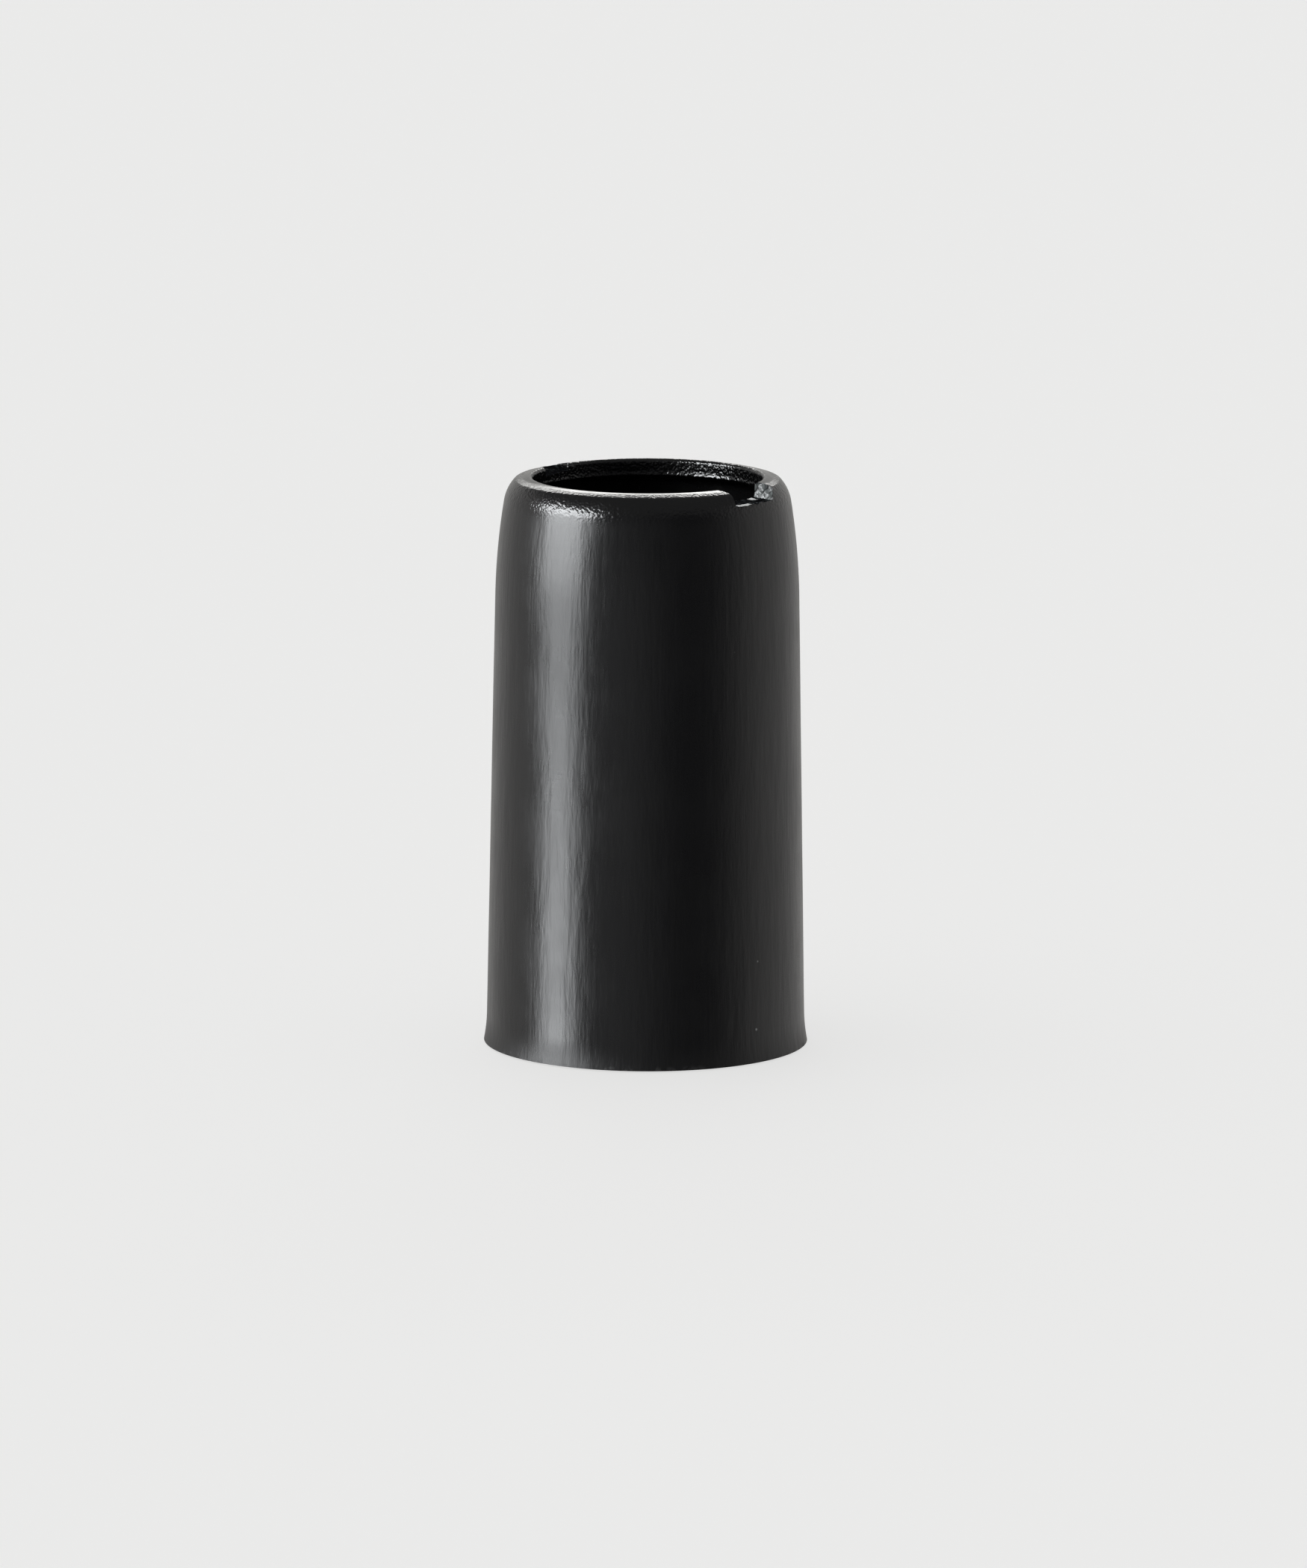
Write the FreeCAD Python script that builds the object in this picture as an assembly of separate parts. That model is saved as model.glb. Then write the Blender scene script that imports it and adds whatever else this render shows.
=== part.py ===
# Empty candle jar: a black moulded sleeve with a separate base, holding a glass liner.
# Millimetres, +Z up, origin at the centre of the ring that the jar stands on.
# The side with the first gate notch on its right faces -Y.

import FreeCAD
import Part

import math
import os

# driving dimensions

# outer sleeve: a drafted tube that leans in, rounds over and ends in a crowned rim
SHOULDER_LEVEL = 99.85      # where the shoulder would come level; the rim's crest is a little higher
SLEEVE_BOTTOM = 0.3         # the sleeve hangs this far clear of the table
BODY_RADIUS = 27.93         # where the drafted side would meet z = 0
DRAFT = math.atan(0.0179)   # lean of the straight side
SIDE_BEND_RADIUS = 119.0    # long gentle bend above the straight side
SHOULDER_RADIUS = 7.0
RIM_EDGE_RADIUS = 1.05
SHOULDER_START = math.radians(9.2)    # lean where the shoulder begins
RIM_EDGE_START = math.radians(41.9)   # lean where the rim's edge begins
CROWN_START = math.radians(75)        # the rim rises inwards, from this lean
CROWN_END = math.radians(81)          # to this one
FLARE_HEIGHT = 5.0
FLARE_RADIUS = 29.0         # the foot of the side curls out a little
WALL = 2.4
LEAD_IN = 0.3               # the cavity's mouth is opened out, to start the base in it
LEAD_IN_HEIGHT = 1.0

# mouth, in the inward lip
MOUTH_RADIUS = 20.0
LIP_THICKNESS = 2.6
MOUTH_EDGE_RADIUS = 0.65
LIP_EDGE_RADIUS = 0.25      # lower edge of the lip

# two opposite gate notches in the lip, each with one clean end and one torn end:
# the notch's middle and clean end in degrees from -Y towards +X, the clean end's corner radius,
# then stations outwards of radius, floor depth at the clean end and at the torn end,
# and the torn end's degrees at the floor, waist and rim
NOTCHES = [
    (52.8, 38.7, 1.0, [
        (17.0, 1.85, 2.15, 67.8, 68.0, 68.2),
        (20.0, 1.85, 2.15, 67.4, 67.2, 68.0),
        (21.2, 1.85, 2.2, 66.4, 67.8, 68.6),
        (22.6, 1.8, 2.2, 64.6, 66.2, 69.0),
        (23.6, 1.75, 2.05, 63.0, 64.8, 66.0),
        (24.6, 2.25, 1.9, 61.6, 62.6, 64.2),
        (28.0, 4.2, 1.6, 60.6, 61.4, 63.4),
    ]),
    (233.3, 223.6, 0.5, [
        (17.0, 1.2, 1.6, 243.4, 243.2, 243.6),
        (20.0, 0.95, 1.3, 242.6, 243.2, 243.0),
        (21.2, 0.8, 1.0, 241.6, 241.2, 242.0),
        (22.6, 0.4, 0.45, 239.6, 240.2, 240.2),
        (24.0, -0.1, -0.1, 238.6, 239.2, 239.4),
        (28.0, -1.3, -1.3, 238.0, 238.4, 238.6),
    ]),
]

# annular snap that holds the base in the sleeve
SNAP_HEIGHT = 9.5           # z of the bead's crown
SNAP_HALF_WIDTH = 0.9
SNAP_DEPTH = 0.35
SNAP_PLAY = 0.05
PUSH_PLAY = 0.05            # radial play of the base's skirt

# base plug
PLUG_BOTTOM = 0.7
PLUG_FLOOR = 3.1            # upper face of the floor
PLUG_TOP = 13.0
PLUG_CHAMFER = 0.6
SKIRT = 1.9
SKIRT_ROOT_RADIUS = 0.8
COLLAR_INNER_RADIUS = 19.5
COLLAR_WALL = 1.6
COLLAR_TOP = 12.0
COLLAR_CHAMFER = 0.4        # outer edge
COLLAR_FUNNEL = 0.6         # inner edge, which guides the liner in
COLLAR_FUNNEL_HEIGHT = 1.2
COLLAR_SLOT_WIDTH = 2.2
COLLAR_SLOT_BOTTOM = 5.0
RIB_COUNT = 6
RIB_THICKNESS = 1.4
RIB_TOP = 9.0
CENTRE_RECESS_RADIUS = 13.5
CENTRE_RECESS_TOP = 1.2
CENTRE_RECESS_SLOPE = 0.5
EJECTOR_COUNT = 3
EJECTOR_RADIUS = 1.75
EJECTOR_RING_RADIUS = 8.5
EJECTOR_DEPTH = 0.15
GATE_DIMPLE_RADIUS = 2.0
GATE_DIMPLE_DEPTH = 0.4
GATE_STUB_RADIUS = 0.6

# anti-slip foot ring, in a groove under the base
FOOT_INNER_RADIUS = 15.6
FOOT_OUTER_RADIUS = 20.9
FOOT_HEIGHT = 1.4
FOOT_EDGE_RADIUS = 0.3
FOOT_GROOVE_PLAY = 0.15

# cushion ring between the base and the glass
CUSHION_INNER_RADIUS = 12.0
CUSHION_OUTER_RADIUS = 18.6
CUSHION_HEIGHT = 1.2
CUSHION_EDGE = 0.25

# glass liner, which drops in through the mouth
LINER_RADIUS = 19.0
LINER_WALL = 1.4
LINER_TOP = 90.0
LINER_FLOOR = 3.0
LINER_HEEL_RADIUS = 3.0
LINER_INNER_HEEL_RADIUS = 2.2
LINER_FOOT_RISE = 0.5       # the underside is hollowed, so that it stands on a flat ring
LINER_FOOT_WIDTH = 1.0
LINER_FOOT_SLOPE = 2.0

Vector = FreeCAD.Vector
AXIS = Vector(0, 0, 1)
ORIGIN = Vector(0, 0, 0)


# drawing helpers

class Outline:
    """Half of a round part's cross-section, drawn edge by edge in the XZ plane."""

    def __init__(self, radius, z):
        self.start = Vector(radius, 0, z)
        self.here = self.start
        self.edges = []

    def line(self, radius, z):
        end = Vector(radius, 0, z)
        self.edges.append(Part.makeLine(self.here, end))
        self.here = end
        return self

    def arc(self, centre_radius, centre_z, radius, z):
        centre = Vector(centre_radius, 0, centre_z)
        end = Vector(radius, 0, z)
        to_middle = (self.here - centre) + (end - centre)
        to_middle.normalize()
        middle = centre + to_middle * (self.here - centre).Length
        self.edges.append(Part.Arc(self.here, middle, end).toShape())
        self.here = end
        return self

    def lean(self, arc_radius, from_angle, to_angle):
        """Bends inwards as it climbs, from one lean to another."""
        centre_radius = self.here.x - arc_radius * math.cos(from_angle)
        centre_z = self.here.z - arc_radius * math.sin(from_angle)
        return self.arc(
            centre_radius,
            centre_z,
            centre_radius + arc_radius * math.cos(to_angle),
            centre_z + arc_radius * math.sin(to_angle),
        )

    def turned(self):
        self.line(self.start.x, self.start.z)
        face = Part.Face(Part.Wire(self.edges))
        return face.revolve(ORIGIN, AXIS, 360)


def side_radius(z):
    return BODY_RADIUS - math.tan(DRAFT) * z


def cavity_radius(z):
    return side_radius(z) - WALL


def polar(radius, degrees):
    """A point at an angle from -Y towards +X."""
    angle = math.radians(degrees)
    return Vector(radius * math.sin(angle), -radius * math.cos(angle), 0)


# outer sleeve

def shoulder_start():
    """Where the long bend begins, so that the three bends would come level at the right height."""
    rise = SIDE_BEND_RADIUS * (math.sin(SHOULDER_START) - math.sin(DRAFT))
    rise += SHOULDER_RADIUS * (math.sin(RIM_EDGE_START) - math.sin(SHOULDER_START))
    rise += RIM_EDGE_RADIUS * (1 - math.sin(RIM_EDGE_START))
    return SHOULDER_LEVEL - rise


def sleeve_body():
    bend_z = shoulder_start()
    flare_top = SLEEVE_BOTTOM + FLARE_HEIGHT
    flare_centre_r = side_radius(flare_top) + FLARE_RADIUS * math.cos(DRAFT)
    flare_centre_z = flare_top + FLARE_RADIUS * math.sin(DRAFT)
    flare_drop = flare_centre_z - SLEEVE_BOTTOM
    foot_radius = flare_centre_r - math.sqrt(FLARE_RADIUS ** 2 - flare_drop ** 2)

    outline = Outline(cavity_radius(SLEEVE_BOTTOM) + LEAD_IN, SLEEVE_BOTTOM)
    outline.line(foot_radius, SLEEVE_BOTTOM)
    outline.arc(flare_centre_r, flare_centre_z, side_radius(flare_top), flare_top)
    outline.line(side_radius(bend_z), bend_z)
    outline.lean(SIDE_BEND_RADIUS, DRAFT, SHOULDER_START)
    outline.lean(SHOULDER_RADIUS, SHOULDER_START, RIM_EDGE_START)
    outline.lean(RIM_EDGE_RADIUS, RIM_EDGE_START, CROWN_START)

    # crown, whose radius brings the mouth's edge to the right place, and the lip's upright land
    crown_width = outline.here.x - MOUTH_RADIUS - MOUTH_EDGE_RADIUS * (1 + math.cos(CROWN_END))
    crown_radius = crown_width / (math.cos(CROWN_START) - math.cos(CROWN_END))
    outline.lean(crown_radius, CROWN_START, CROWN_END)
    outline.lean(MOUTH_EDGE_RADIUS, CROWN_END, math.pi)
    lip_bottom = SHOULDER_LEVEL - LIP_THICKNESS
    edge = LIP_EDGE_RADIUS
    outline.line(MOUTH_RADIUS, lip_bottom + edge)
    outline.arc(MOUTH_RADIUS + edge, lip_bottom + edge, MOUTH_RADIUS + edge, lip_bottom)

    # cavity: hollow corner under the lip, then a wall parallel to the outside
    bend_centre_r = side_radius(bend_z) - SIDE_BEND_RADIUS * math.cos(DRAFT)
    bend_centre_z = bend_z - SIDE_BEND_RADIUS * math.sin(DRAFT)
    inner_bend = SIDE_BEND_RADIUS - WALL
    corner_r = bend_centre_r + inner_bend * math.cos(SHOULDER_START)
    corner_z = bend_centre_z + inner_bend * math.sin(SHOULDER_START)
    corner_radius = (lip_bottom - corner_z) / (1 - math.sin(SHOULDER_START))
    corner_centre_r = corner_r - corner_radius * math.cos(SHOULDER_START)
    corner_centre_z = lip_bottom - corner_radius
    outline.line(corner_centre_r, lip_bottom)
    outline.arc(corner_centre_r, corner_centre_z, corner_r, corner_z)
    outline.arc(
        bend_centre_r,
        bend_centre_z,
        bend_centre_r + inner_bend * math.cos(DRAFT),
        bend_centre_z + inner_bend * math.sin(DRAFT),
    )

    # groove for the base's snap bead, and a lead-in at the foot
    groove_depth = SNAP_DEPTH + SNAP_PLAY
    groove_top = SNAP_HEIGHT + SNAP_HALF_WIDTH + SNAP_PLAY
    groove_foot = SNAP_HEIGHT - SNAP_HALF_WIDTH - SNAP_PLAY
    outline.line(cavity_radius(groove_top), groove_top)
    outline.line(cavity_radius(SNAP_HEIGHT) + groove_depth, SNAP_HEIGHT)
    outline.line(cavity_radius(groove_foot), groove_foot)
    lead_in_top = SLEEVE_BOTTOM + LEAD_IN_HEIGHT
    outline.line(cavity_radius(lead_in_top), lead_in_top)
    return outline.turned()


def notch_section(clean, corner, radius, clean_depth, torn_depth, floor, waist, top):
    """One slice across a notch at a radius, square to its middle line, with angles taken from there."""
    def across(degrees, z):
        return Vector(radius * math.tan(math.radians(degrees)), radius, z)

    above = SHOULDER_LEVEL + 3
    rim = SHOULDER_LEVEL + 0.45
    turn = across(clean, rim - corner)
    clean_top = turn + Vector(-corner, 0, corner)
    middle = turn + Vector(-corner * (1 - math.sqrt(0.5)), 0, corner * math.sqrt(0.5))
    points = [
        across(clean, SHOULDER_LEVEL - clean_depth),
        across(floor, SHOULDER_LEVEL - torn_depth),
        across(waist, (SHOULDER_LEVEL - torn_depth + above) / 2 - 1.2),
        across(top, above - 1.2),
        across(top, above),
        Vector(clean_top.x, radius, above),
        clean_top,
    ]
    edges = [Part.makeLine(a, b) for a, b in zip(points, points[1:])]
    edges.append(Part.Arc(clean_top, middle, turn).toShape())
    edges.append(Part.makeLine(turn, points[0]))
    return Part.Wire(edges)


def notch_cutter(middle, clean, corner, stations):
    """A notch with one clean end and one torn end, drawn along +Y and turned into place."""
    sections = []
    for radius, clean_depth, torn_depth, *angles in stations:
        angles = [angle - middle for angle in angles]
        sections.append(notch_section(clean - middle, corner, radius, clean_depth, torn_depth, *angles))
    cutter = Part.makeLoft(sections, True, True)
    cutter.rotate(ORIGIN, AXIS, 180 + middle)
    return cutter


def outer_sleeve():
    sleeve = sleeve_body()
    for notch in NOTCHES:
        sleeve = sleeve.cut(notch_cutter(*notch))
    return sleeve


# base plug

def plug_side(z):
    return cavity_radius(z) - PUSH_PLAY


def plug_body():
    groove_inner = FOOT_INNER_RADIUS - FOOT_GROOVE_PLAY
    groove_outer = FOOT_OUTER_RADIUS + FOOT_GROOVE_PLAY
    collar_outer = COLLAR_INNER_RADIUS + COLLAR_WALL
    chamfer = PLUG_CHAMFER
    outline = Outline(0, CENTRE_RECESS_TOP)
    outline.line(CENTRE_RECESS_RADIUS, CENTRE_RECESS_TOP)
    outline.line(CENTRE_RECESS_RADIUS + CENTRE_RECESS_SLOPE, PLUG_BOTTOM)
    outline.line(groove_inner, PLUG_BOTTOM)
    outline.line(groove_inner, FOOT_HEIGHT)
    outline.line(groove_outer, FOOT_HEIGHT)
    outline.line(groove_outer, PLUG_BOTTOM)
    outline.line(plug_side(PLUG_BOTTOM) - chamfer, PLUG_BOTTOM)
    outline.line(plug_side(PLUG_BOTTOM + chamfer), PLUG_BOTTOM + chamfer)

    # snap bead, on the outside of the skirt
    bead_foot = SNAP_HEIGHT - SNAP_HALF_WIDTH
    bead_top = SNAP_HEIGHT + SNAP_HALF_WIDTH
    outline.line(plug_side(bead_foot), bead_foot)
    outline.line(plug_side(SNAP_HEIGHT) + SNAP_DEPTH, SNAP_HEIGHT)
    outline.line(plug_side(bead_top), bead_top)
    outline.line(plug_side(PLUG_TOP - chamfer), PLUG_TOP - chamfer)
    outline.line(plug_side(PLUG_TOP) - chamfer, PLUG_TOP)

    # skirt, floor and collar
    skirt_inner = cavity_radius(PLUG_TOP) - SKIRT
    root = SKIRT_ROOT_RADIUS
    outline.line(skirt_inner, PLUG_TOP)
    outline.line(skirt_inner, PLUG_FLOOR + root)
    outline.arc(skirt_inner - root, PLUG_FLOOR + root, skirt_inner - root, PLUG_FLOOR)
    outline.line(collar_outer, PLUG_FLOOR)
    outline.line(collar_outer, COLLAR_TOP - COLLAR_CHAMFER)
    outline.line(collar_outer - COLLAR_CHAMFER, COLLAR_TOP)
    outline.line(COLLAR_INNER_RADIUS + COLLAR_FUNNEL, COLLAR_TOP)
    outline.line(COLLAR_INNER_RADIUS, COLLAR_TOP - COLLAR_FUNNEL_HEIGHT)
    outline.line(COLLAR_INNER_RADIUS, PLUG_FLOOR)
    outline.line(0, PLUG_FLOOR)
    return outline.turned()


def stiffening_rib(degrees):
    """A rib across the gap between the collar and the skirt, rooted in all three walls."""
    inner = COLLAR_INNER_RADIUS + COLLAR_WALL / 2
    outer = cavity_radius(PLUG_TOP) - SKIRT / 2
    foot = (PLUG_BOTTOM + PLUG_FLOOR) / 2
    corner = Vector(inner, -RIB_THICKNESS / 2, foot)
    rib = Part.makeBox(outer - inner, RIB_THICKNESS, RIB_TOP - foot, corner)
    rib.rotate(ORIGIN, AXIS, degrees)
    return rib


def collar_slot(degrees):
    """A slot right through the collar, which lets the wall give as the liner goes in."""
    past = COLLAR_WALL / 2
    corner = Vector(COLLAR_INNER_RADIUS - past, -COLLAR_SLOT_WIDTH / 2, COLLAR_SLOT_BOTTOM)
    height = COLLAR_TOP - COLLAR_SLOT_BOTTOM + past
    slot = Part.makeBox(COLLAR_WALL + 2 * past, COLLAR_SLOT_WIDTH, height, corner)
    slot.rotate(ORIGIN, AXIS, degrees)
    return slot


def base_plug():
    plug = plug_body()
    step = 360 / RIB_COUNT
    for i in range(RIB_COUNT):
        plug = plug.fuse(stiffening_rib(i * step))
    for i in range(RIB_COUNT):
        plug = plug.cut(collar_slot((i + 0.5) * step))

    # moulding marks under the floor: ejector pins round a recessed gate
    for i in range(EJECTOR_COUNT):
        spot = polar(EJECTOR_RING_RADIUS, 360 / EJECTOR_COUNT * i)
        spot.z = CENTRE_RECESS_TOP
        plug = plug.cut(Part.makeCylinder(EJECTOR_RADIUS, EJECTOR_DEPTH, spot))
    spot = Vector(0, 0, CENTRE_RECESS_TOP)
    dimple = Part.makeCylinder(GATE_DIMPLE_RADIUS, GATE_DIMPLE_DEPTH, spot)
    stub = Part.makeCylinder(GATE_STUB_RADIUS, GATE_DIMPLE_DEPTH, spot)
    return plug.cut(dimple.cut(stub)).removeSplitter()


# rings and liner

def foot_ring():
    edge = FOOT_EDGE_RADIUS
    outline = Outline(FOOT_INNER_RADIUS, edge)
    outline.arc(FOOT_INNER_RADIUS + edge, edge, FOOT_INNER_RADIUS + edge, 0)
    outline.line(FOOT_OUTER_RADIUS - edge, 0)
    outline.arc(FOOT_OUTER_RADIUS - edge, edge, FOOT_OUTER_RADIUS, edge)
    outline.line(FOOT_OUTER_RADIUS, FOOT_HEIGHT)
    outline.line(FOOT_INNER_RADIUS, FOOT_HEIGHT)
    return outline.turned()


def cushion_ring():
    top = PLUG_FLOOR + CUSHION_HEIGHT
    edge = CUSHION_EDGE
    outline = Outline(CUSHION_INNER_RADIUS, PLUG_FLOOR)
    outline.line(CUSHION_OUTER_RADIUS, PLUG_FLOOR)
    outline.line(CUSHION_OUTER_RADIUS, top - edge)
    outline.line(CUSHION_OUTER_RADIUS - edge, top)
    outline.line(CUSHION_INNER_RADIUS + edge, top)
    outline.line(CUSHION_INNER_RADIUS, top - edge)
    return outline.turned()


def glass_liner():
    bottom = PLUG_FLOOR + CUSHION_HEIGHT
    heel = LINER_HEEL_RADIUS
    inner = LINER_RADIUS - LINER_WALL
    inner_heel = LINER_INNER_HEEL_RADIUS
    floor = bottom + LINER_FLOOR
    rim = LINER_WALL / 2
    foot_inner = LINER_RADIUS - heel - LINER_FOOT_WIDTH
    outline = Outline(0, bottom + LINER_FOOT_RISE)
    outline.line(foot_inner - LINER_FOOT_SLOPE, bottom + LINER_FOOT_RISE)
    outline.line(foot_inner, bottom)
    outline.line(LINER_RADIUS - heel, bottom)
    outline.arc(LINER_RADIUS - heel, bottom + heel, LINER_RADIUS, bottom + heel)
    outline.line(LINER_RADIUS, LINER_TOP - rim)
    outline.arc(LINER_RADIUS - rim, LINER_TOP - rim, LINER_RADIUS - rim, LINER_TOP)
    outline.arc(LINER_RADIUS - rim, LINER_TOP - rim, inner, LINER_TOP - rim)
    outline.line(inner, floor + inner_heel)
    outline.arc(inner - inner_heel, floor + inner_heel, inner - inner_heel, floor)
    outline.line(0, floor)
    return outline.turned()


# export

PARTS = {
    "outer_sleeve": outer_sleeve,
    "base_plug": base_plug,
    "glass_liner": glass_liner,
    "cushion_ring": cushion_ring,
    "foot_ring": foot_ring,
}


def main():
    os.makedirs("parts", exist_ok=True)
    for name, make in PARTS.items():
        shape = make()
        if shape.Volume < 0:
            shape.reverse()
        shape.exportStep("parts/" + name + ".step")
        box = shape.BoundBox
        print(
            f"{name}: {len(shape.Solids)} solid, valid {shape.isValid()}, "
            f"volume {shape.Volume:.1f}, r {box.XMax:.2f}, z {box.ZMin:.2f} to {box.ZMax:.2f}"
        )


main()
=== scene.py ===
import math

import bpy
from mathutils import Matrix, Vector


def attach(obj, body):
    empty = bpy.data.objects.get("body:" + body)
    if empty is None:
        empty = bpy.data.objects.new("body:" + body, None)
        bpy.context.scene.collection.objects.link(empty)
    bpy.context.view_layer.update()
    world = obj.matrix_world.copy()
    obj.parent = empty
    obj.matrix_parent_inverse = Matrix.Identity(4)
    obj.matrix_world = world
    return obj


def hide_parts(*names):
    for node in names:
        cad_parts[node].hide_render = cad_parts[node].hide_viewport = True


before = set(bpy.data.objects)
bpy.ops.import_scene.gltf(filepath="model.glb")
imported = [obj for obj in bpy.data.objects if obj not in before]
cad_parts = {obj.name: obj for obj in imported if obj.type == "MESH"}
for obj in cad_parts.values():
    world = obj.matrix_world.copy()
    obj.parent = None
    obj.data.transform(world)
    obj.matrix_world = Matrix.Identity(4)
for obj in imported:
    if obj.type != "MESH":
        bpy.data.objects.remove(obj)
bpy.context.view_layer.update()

# An empty candle jar: black moulded sleeve, base, glass liner and two rings.
# Everything is in metres, and the dictionaries hold millimetres and degrees.

mm = 0.001


# working tools

def deselectAll():
    if bpy.context.mode != "OBJECT":
        bpy.ops.object.mode_set(mode="OBJECT")
    bpy.ops.object.select_all(action="DESELECT")


def activate(piece):
    deselectAll()
    piece.select_set(True)
    bpy.context.view_layer.objects.active = piece


def editAll(piece):
    activate(piece)
    bpy.ops.object.mode_set(mode="EDIT")
    bpy.ops.mesh.select_all(action="SELECT")


def pick(piece, test, mode="VERT"):
    # selects what passes a test on its middle, and leaves the piece in edit mode
    activate(piece)
    mesh = piece.data
    bpy.ops.object.mode_set(mode="EDIT")
    bpy.ops.mesh.select_mode(type=mode)
    bpy.ops.mesh.select_all(action="DESELECT")
    bpy.ops.object.mode_set(mode="OBJECT")
    if mode == "VERT":
        for v in mesh.vertices:
            v.select = test(v.co)
    elif mode == "EDGE":
        for e in mesh.edges:
            a, b = (mesh.vertices[i].co for i in e.vertices)
            e.select = test((a + b) / 2)
    else:
        for f in mesh.polygons:
            f.select = test(f)
    bpy.ops.object.mode_set(mode="EDIT")


def bakeModifiers(piece):
    activate(piece)
    for modifier in list(piece.modifiers):
        bpy.ops.object.modifier_apply(modifier=modifier.name)


def settle(piece):
    # the object's place goes into its mesh
    activate(piece)
    bpy.ops.object.transform_apply(location=True, rotation=True, scale=True)


def onCircle(radius, degrees, z=0):
    # a point at an angle from -Y towards +X
    angle = math.radians(degrees)
    return Vector((radius * math.sin(angle), -radius * math.cos(angle), z))


# shader tools

class Wire:
    # a shader socket that can be used in sums
    def __init__(self, shader, socket):
        self.shader = shader
        self.socket = socket

    def maths(self, operation, *values):
        return self.shader.node("ShaderNodeMath", {"operation": operation}, list(values))

    def __add__(self, other):
        return self.maths("ADD", self, other)

    def __radd__(self, other):
        return self.maths("ADD", other, self)

    def __sub__(self, other):
        return self.maths("SUBTRACT", self, other)

    def __rsub__(self, other):
        return self.maths("SUBTRACT", other, self)

    def __mul__(self, other):
        return self.maths("MULTIPLY", self, other)

    def __rmul__(self, other):
        return self.maths("MULTIPLY", other, self)

    def __truediv__(self, other):
        return self.maths("DIVIDE", self, other)

    def __pow__(self, other):
        return self.maths("POWER", self, other)

    def atLeast(self, low):
        return self.maths("MAXIMUM", self, low)

    def ramp(self, low, high, fromValue=0.0, toValue=1.0):
        # smooth step from one value to the other
        settings = {"interpolation_type": "SMOOTHSTEP"}
        return self.shader.node("ShaderNodeMapRange", settings, [self, low, high, fromValue, toValue])


class Shader:
    # the nodes of one material, or of the world
    def __init__(self, name, world=None):
        self.material = world or bpy.data.materials.new(name)
        self.material.use_nodes = True
        self.tree = self.material.node_tree
        self.surface = self.tree.nodes["Background" if world else "Principled BSDF"]
        self.place = self.node("ShaderNodeTexCoord", {}, {}, "Generated" if world else "Object")

    def node(self, kind, settings, values, output=0):
        made = self.tree.nodes.new(kind)
        for key, value in settings.items():
            setattr(made, key, value)
        pairs = values.items() if isinstance(values, dict) else enumerate(values)
        for key, value in pairs:
            self.feed(made.inputs[key], value)
        return Wire(self, made.outputs[output])

    def feed(self, socket, value):
        if isinstance(value, Wire):
            self.tree.links.new(value.socket, socket)
        else:
            socket.default_value = value

    def stretched(self, scale, turn=(0, 0, 0)):
        # the object's coordinates, turned and scaled along each axis
        values = {"Vector": self.place, "Rotation": turn, "Scale": scale}
        return self.node("ShaderNodeMapping", {}, values)

    def noise(self, scale, detail=2.0, roughness=0.5, place=None, distortion=0.0):
        values = {
            "Vector": place or self.place,
            "Scale": scale,
            "Detail": detail,
            "Roughness": roughness,
            "Distortion": distortion,
        }
        return self.node("ShaderNodeTexNoise", {}, values, "Fac")

    def cells(self, scale, feature="F1", output="Distance"):
        values = {"Vector": self.place, "Scale": scale}
        return self.node("ShaderNodeTexVoronoi", {"feature": feature}, values, output)

    def axis(self, name, place=None):
        # one coordinate of a place or one channel of a colour
        return self.node("ShaderNodeSeparateXYZ", {}, [place or self.place], name)

    def blendColour(self, amount, first, second):
        settings = {"data_type": "RGBA", "clamp_factor": True}
        made = self.node("ShaderNodeMix", settings, {"Factor": amount}).socket.node
        # the colour sockets come after those for numbers and vectors
        self.feed(made.inputs[6], first)
        self.feed(made.inputs[7], second)
        return Wire(self, made.outputs[2])

    def radius(self):
        # millimetres from the jar's axis
        x, y = self.axis("X"), self.axis("Y")
        return ((x * x + y * y) ** 0.5) / mm

    def bump(self, height, depth, strength=1.0, under=None):
        values = {"Height": height, "Distance": depth, "Strength": strength}
        if under is not None:
            values["Normal"] = under
        return self.node("ShaderNodeBump", {}, values)

    def finish(self, **sockets):
        for name, value in sockets.items():
            self.feed(self.surface.inputs[name.replace("_", " ")], value)
        return self.material


# camera, floor and light

studio = {
    "aimHeight": 50.0,
    "elevation": 10.23,
    "distance": 1936.0,
    "lens": 254.2,           # on a 36 mm tall frame
    "shift": (0.0044, -0.0154),
    "roll": 0.22,
    "floorSize": 16.0,       # metres
    "floorColour": (0.26, 0.26, 0.258, 1),
    "floorGlow": (0.67, 0.67, 0.666, 1),     # a lit floor, so the contact shadow stays faint
    "floorGrain": (0.6, 0.6, 0.6, 1),
}


def makeCamera():
    bpy.ops.object.camera_add()
    camera = bpy.context.object
    camera.name = "camera"
    tilt = math.radians(studio["elevation"])
    away = Vector((0, -math.cos(tilt), math.sin(tilt))) * studio["distance"] * mm
    camera.location = away + Vector((0, 0, studio["aimHeight"] * mm))
    camera.rotation_euler = (math.pi / 2 - tilt, 0, 0)
    camera.rotation_euler.rotate_axis("Z", math.radians(studio["roll"]))
    camera.data.lens = studio["lens"]
    camera.data.sensor_width = 36
    camera.data.shift_x, camera.data.shift_y = studio["shift"]
    camera.data.clip_end = 50
    bpy.context.scene.camera = camera


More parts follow.
